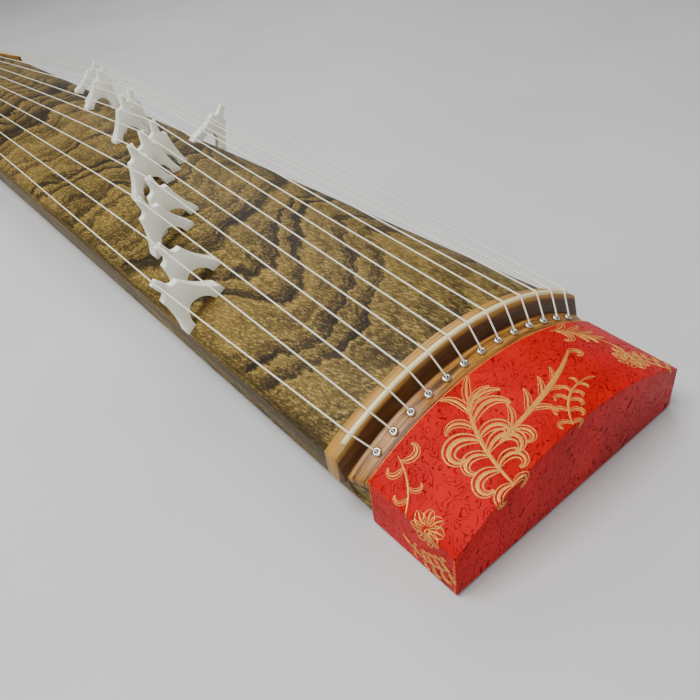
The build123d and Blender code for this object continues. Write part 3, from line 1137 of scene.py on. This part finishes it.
@dataclass
class Embroidery:
    """Gold scrolls and blossoms woven into the cap's cloth."""

    form: CapForm
    lift: float = 0.00022
    petal_strands: tuple[Place, ...] = ((-0.5, 0.16), (0.0, 0.20), (0.5, 0.16))
    ribbons: list[Scroll] = field(default_factory=list)

    def frond(self, foot: Place, heading: float, length: float, turn: float, leaves: Leaves) -> None:
        """Add a curved stem with curling leaves.

        Args:
            foot: Foot of the stem on the cloth.
            heading: Direction it leaves in.
            length: Length of the stem.
            turn: Total turn of the stem, in radians.
            leaves: Place along the stem, signed lean from it, length and turn of each leaf.
        """
        stem = Scroll(foot, heading, length, turn, length * 0.05, 1.2, ((0.0, 0.8),), 30)
        self.ribbons.append(stem)
        line = stem.line()
        for share, lean, size, curl in leaves:
            s, t, direction = line[int(share * (len(line) - 1))]
            self.ribbons.append(Scroll((s, t), direction + lean, size, curl, size * 0.20))

    def blossom(self, at: Place, radius: float, petals: int, turned: float) -> None:
        """Add a round flower of two rings of petals with a coiled heart.

        Args:
            at: Middle of the flower on the cloth.
            radius: Its radius.
            petals: Petals in the outer ring.
            turned: Angle of the first petal.
        """
        for ring, scale in ((0, 1.0), (1, 0.60)):
            for index in range(petals):
                angle = turned + (index + 0.5 * ring) * 2 * math.pi / petals
                reach = radius * scale
                across = at[0] + math.cos(angle) * reach * 0.30
                along = at[1] + math.sin(angle) * reach * 0.30
                length, width = reach * 0.70, reach * 0.52
                foot = (across, along)
                petal = Scroll(foot, angle, length, 0.5, width, 1.0, self.petal_strands, 12)
                self.ribbons.append(petal)
        self.ribbons.append(Scroll(at, turned, radius * 0.9, 7.0, radius * 0.12, 1.0, ((0.0, 1.0),), 20))

    def line(self, start: Place, heading: float, length: float, width: float, steps: int) -> None:
        """Add one plain straight line of thread, also used for the painted highlight along the mouth.

        Args:
            start: Where it starts on the cloth.
            heading: Direction it runs in.
            length: Its length.
            width: Its width.
            steps: Divisions along it.
        """
        self.ribbons.append(Scroll(start, heading, length, 0.0, width, 1.0, ((0.0, 1.0),), steps))

    def build(self, name: str, gold: bpy.types.Material) -> bpy.types.Object:
        """Lay every ribbon on the cap as one raised piece.

        Args:
            name: Name of the piece.
            gold: Finish of the thread.

        Returns:
            The piece.
        """
        mesh = bmesh.new()
        flat = mesh.loops.layers.uv.new("flat")
        for order, ribbon in enumerate(self.ribbons):
            for pairs in ribbon.outlines():
                self._lay(mesh, flat, pairs, self.lift + 0.00004 * (order % 5))
        data = bpy.data.meshes.new(name)
        mesh.to_mesh(data)
        mesh.free()
        obj = bpy.data.objects.new(name, data)
        bpy.context.scene.collection.objects.link(obj)
        dress(obj, gold, "cap_brocade")
        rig.ride(obj, "cap")
        return obj

    def _lay(self, mesh: bmesh.types.BMesh, flat: Any, pairs: Sequence[Any], lift: float) -> None:
        """Add one strand with a low crown and edges that meet the cloth.

        Args:
            mesh: Mesh to add to.
            flat: Its layer of flat places.
            pairs: Left and right edge points along the strand.
            lift: Height of its crown.
        """
        rows = []
        for left, right in pairs:
            stations = []
            for share, height in ((0.0, -0.2), (0.2, 0.85), (0.8, 0.85), (1.0, -0.2)):
                place = (left[0] + (right[0] - left[0]) * share, left[1] + (right[1] - left[1]) * share)
                stations.append((mesh.verts.new(self.form.on_cloth(*place, lift * height)), place))
            rows.append(stations)
        for before, after in zip(rows, rows[1:]):
            if not all(self._shows(place) for _, place in before + after):
                continue
            for index in range(3):
                corners = [before[index], before[index + 1], after[index + 1], after[index]]
                face = mesh.faces.new([vert for vert, _ in corners])
                face.smooth = True
                for loop, (_, place) in zip(face.loops, corners):
                    loop[flat].uv = place
        loose = [vert for stations in rows for vert, _ in stations if not vert.link_faces]
        bmesh.ops.delete(mesh, geom=loose, context="VERTS")

    def _shows(self, place: Place) -> bool:
        """Whether a place lies on cloth that shows."""
        limit = self.form.half_arc() + 0.040
        return abs(place[0]) < limit and self.form.mouth + 0.0004 < place[1] < self.form.end + 0.040


@dataclass
class Cap:
    """Slip-on cap: brocade cover, board core and lining."""

    form: CapForm = field(default_factory=CapForm)
    fold: float = 0.0011
    stitches: int = 9
    stitch_gap: float = 0.0038
    main_leaves: Leaves = (
        (0.02, -1.15, 0.026, -4.2), (0.02, 1.25, 0.022, 4.2), (0.18, -0.95, 0.034, -4.3),
        (0.20, 1.0, 0.031, 4.2), (0.34, -0.80, 0.030, -3.9), (0.38, 0.85, 0.040, 4.1),
        (0.50, -0.85, 0.042, -4.4), (0.56, 0.9, 0.034, 3.9), (0.66, -0.60, 0.026, -2.6),
        (0.70, 0.55, 0.036, 2.2), (0.80, -0.35, 0.026, -1.4), (0.82, 0.30, 0.028, 1.2),
        (0.92, 0.0, 0.026, 0.4), (0.90, 0.8, 0.026, 1.0),
    )
    feather_leaves: Leaves = (
        (0.12, -0.50, 0.022, -0.8), (0.12, 0.45, 0.024, 3.6), (0.28, -0.45, 0.022, -0.7),
        (0.32, 0.40, 0.020, 1.6), (0.46, -0.40, 0.020, -0.6), (0.50, 0.35, 0.016, 1.2),
        (0.62, -0.35, 0.016, -0.5), (0.97, 0.2, 0.020, 4.6),
    )
    fern_leaves: Leaves = (
        (0.05, -0.95, 0.014, -3.6), (0.05, 0.95, 0.014, 3.6), (0.24, -0.85, 0.015, -3.6),
        (0.24, 0.85, 0.015, 3.6), (0.44, -0.80, 0.014, -3.4), (0.44, 0.80, 0.014, 3.4),
        (0.62, -0.70, 0.012, -3.2), (0.62, 0.70, 0.012, 3.2), (0.80, -0.55, 0.010, -2.6),
        (0.80, 0.55, 0.010, 2.6), (0.97, 0.0, 0.009, 0.6),
    )
    thin_leaves: Leaves = (
        (0.10, -1.1, 0.022, -3.2), (0.20, 0.9, 0.018, 3.4), (0.55, -0.7, 0.014, -3.0),
        (0.70, 0.8, 0.014, 3.0),
    )

    def build(
        self,
        brocade: bpy.types.Material,
        gold: bpy.types.Material,
        board: bpy.types.Material,
        lining: bpy.types.Material,
    ) -> None:
        """Build and dress the cap.

        Args:
            brocade: Finish of the cover.
            gold: Finish of the woven gold figure.
            board: Finish of the core.
            lining: Finish of the lining.
        """
        cover = copy_of("cap_brocade", "cap_cover")
        round_edges(cover, self.fold, 3)
        self._unroll(cover)
        dress(cover, brocade, "cap_brocade")
        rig.ride(cover, "cap")
        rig.replaces(cover, "cap_brocade")
        dress_node("cap_core", board)
        dress_node("cap_lining", lining)
        self._embroider(gold)

    def _unroll(self, cover: bpy.types.Object) -> None:
        """Store each corner's place on the flat cloth.

        Args:
            cover: The cloth cover.
        """
        mesh = cover.data
        layer = mesh.uv_layers.new(name="flat")
        for face in mesh.polygons:
            region = region_of(face.normal)
            for loop in face.loop_indices:
                point = mesh.vertices[mesh.loops[loop].vertex_index].co
                layer.data[loop].uv = self.form.to_cloth(point, region)

    def _embroider(self, gold: bpy.types.Material) -> None:
        """Lay out the gold figure, with a thin gold line along the mouth as painted highlight on the cloth's fold.

        Args:
            gold: Finish of the thread.
        """
        work = Embroidery(self.form)
        work.frond((-0.067, 0.9090), -1.42, 0.072, 0.62, self.main_leaves)
        work.frond((-0.050, 0.884), 0.0, 0.104, -0.5, self.feather_leaves)
        work.frond((-0.010, 0.9090), -0.95, 0.050, 1.1, self.fern_leaves)
        work.frond((0.062, 0.836), 0.35, 0.052, 1.0, self.feather_leaves)
        work.frond((0.118, 0.9075), -2.1, 0.040, -0.8, self.fern_leaves)
        work.blossom((0.087, 0.8900), 0.0135, 8, 0.1)
        work.frond((-0.099, 0.838), 1.9, 0.042, 0.9, self.thin_leaves)
        work.blossom((-0.1225, 0.8840), 0.0130, 8, 0.3)
        work.frond((-0.141, 0.905), -2.4, 0.040, 1.2, self.fern_leaves)
        work.frond((0.136, 0.842), 1.2, 0.044, -1.0, self.fern_leaves)
        # Painted highlight: a thin gold line just past the mouth, standing for the highlight on the cloth's fold
        # there.
        work.line((-0.160, self.form.mouth + 0.0011), 0.0, 0.320, 0.0007, 120)
        for side in (-1.0, 1.0):
            for index in range(self.stitches):
                drop = 0.003 + self.stitch_gap * index
                foot = (side * (self.form.half_arc() + drop), self.form.end - 0.0022)
                work.line(foot, math.pi / 2 - side * 0.5, 0.0020, 0.0006, 3)
        work.build("cap_gold_figure", gold)


# ---------------------------------------------------------------- studio


@dataclass
class Studio:
    """Floor, lights and camera."""

    place: Point = (1.07620, -0.28078, 0.38227)
    yaw: float = 2.54990
    pitch: float = -0.65986
    roll: float = -0.15217
    sensor: float = 36.0
    lens: float = 667.74 / 700.0 * 36.0
    floor_size: float = 26.0
    floor_height: float = -0.0004
    surround: Colour = (0.90, 0.91, 0.93)
    surround_strength: float = 0.30
    lights: tuple[tuple[str, Point, float, float, Point], ...] = (
        ("key", (0.55, -0.75, 1.9), 1.1, 46.0, (0.5, 0.0, 0.0)),
        ("fill", (1.9, -1.2, 1.0), 1.2, 7.0, (0.3, 0.0, 0.0)),
        ("back", (-1.0, 1.0, 1.9), 1.4, 22.0, (0.0, 0.0, 0.0)),
    )

    def build(self, floor: bpy.types.Material) -> None:
        """Set up the studio.

        Args:
            floor: Finish of the floor.
        """
        deselect()
        bpy.ops.mesh.primitive_plane_add(size=self.floor_size, location=(0.0, 0.0, self.floor_height))
        plane = bpy.context.object
        plane.name = "studio_floor_plane"
        plane.data.materials.append(floor)
        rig.stage(plane)
        for name, place, size, power, target in self.lights:
            self._light(name, place, size, power, target)
        self._world()
        self._camera()

    @staticmethod
    def _light(name: str, place: Point, size: float, power: float, target: Point) -> None:
        """Add one soft area light.

        Args:
            name: Name of the light.
            place: Where it hangs.
            size: Side of its square.
            power: Watts.
            target: Where it points.
        """
        data = bpy.data.lights.new(name, "AREA")
        data.size = size
        data.energy = power
        light = bpy.data.objects.new(name, data)
        bpy.context.scene.collection.objects.link(light)
        light.location = place
        light.rotation_euler = (Vector(target) - Vector(place)).to_track_quat("-Z", "Y").to_euler()
        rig.stage(light)

    def _world(self) -> None:
        """Give the studio an even pale surround."""
        world = bpy.data.worlds.new("studio")
        world.use_nodes = True
        background = world.node_tree.nodes["Background"]
        background.inputs["Color"].default_value = (*self.surround, 1.0)
        background.inputs["Strength"].default_value = self.surround_strength
        bpy.context.scene.world = world

    def _camera(self) -> None:
        """Place the camera."""
        data = bpy.data.cameras.new("camera")
        data.lens = self.lens
        data.sensor_width = self.sensor
        data.clip_start = 0.01
        camera = bpy.data.objects.new("camera", data)
        bpy.context.scene.collection.objects.link(camera)
        flat = math.cos(self.pitch)
        forward = Vector((flat * math.cos(self.yaw), flat * math.sin(self.yaw), math.sin(self.pitch)))
        right = forward.cross(Vector((0.0, 0.0, 1.0))).normalized()
        up = right.cross(forward)
        tilted_right = right * math.cos(self.roll) + up * math.sin(self.roll)
        tilted_up = up * math.cos(self.roll) - right * math.sin(self.roll)
        turn = Matrix((tilted_right, tilted_up, -forward)).transposed().to_4x4()
        camera.matrix_world = Matrix.Translation(Vector(self.place)) @ turn
        bpy.context.scene.camera = camera


def write_sizes() -> None:
    """Store the bounds taken after loading and now."""
    with open("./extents.json", "w", encoding="utf-8") as file:
        json.dump([as_lists(LOADED_BOUNDS), as_lists(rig.bounds())], file)


def as_lists(value: Any) -> Any:
    """Turn vectors and tuples into plain lists of numbers.

    Args:
        value: A number, or vectors in any nesting.

    Returns:
        The same numbers in lists.
    """
    if isinstance(value, dict):
        return {key: as_lists(part) for key, part in value.items()}
    if isinstance(value, (int, float, str)) or value is None:
        return value
    return [as_lists(part) for part in value]


def main() -> None:
    """Build the whole instrument, then the studio round it."""
    logging.basicConfig(level=logging.INFO, format="%(name)s: %(message)s")
    wood = ScorchedPaulownia().make()
    rosewood = Rosewood().make()
    ivory = IvoryStrip().make()
    metal = EyeletMetal().make()
    SoundBox().build(wood, rosewood)
    Fittings().build(rosewood, ivory, metal)
    Bridges().build(BridgeWhite().make())
    Strings().build(TwistedCord().make())
    board = PlainCloth("cap_board", (0.32, 0.22, 0.12), (0.48, 0.37, 0.22), 0.0011).make()
    lining = PlainCloth("cap_lining", (0.55, 0.50, 0.42), (0.78, 0.73, 0.62)).make()
    Cap().build(RedBrocade().make(), GoldThread().make(), board, lining)
    Studio().build(StudioFloor().make())
    write_sizes()


if __name__ == "__main__":
    main()
